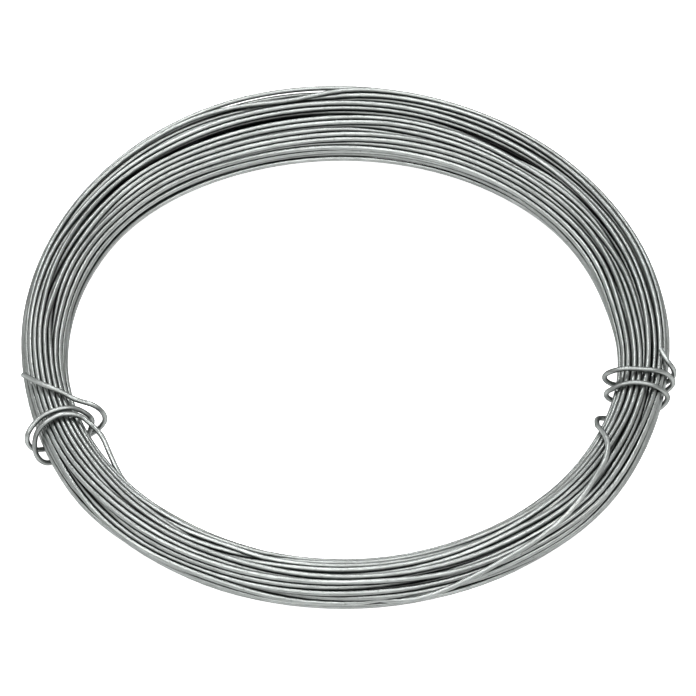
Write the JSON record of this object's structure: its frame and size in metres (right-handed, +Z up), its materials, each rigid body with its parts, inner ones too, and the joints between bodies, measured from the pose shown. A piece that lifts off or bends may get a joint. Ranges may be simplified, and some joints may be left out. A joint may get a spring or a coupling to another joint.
{
  "type": "coil of tie wire",
  "caption": "Flat ring-shaped coil of soft galvanised tie wire, its turns in one rounded bundle with both ends wrapped round it and some turns fanning out.",
  "frame": {"origin": "on the floor, on the coil's own axis", "axes": "+Z up along the coil's axis, +X towards the tie on the right, +Y towards the side where the turns fan out"},
  "size_m": [0.2052, 0.2089, 0.0174],
  "materials": {
    "galvanised_wire": "hot-dip galvanised steel, grey and satin, slightly mottled along the wire"
  },
  "bodies": {
    "root": {"wire_coil": "galvanised_wire"}
  },
  "joints": []
}
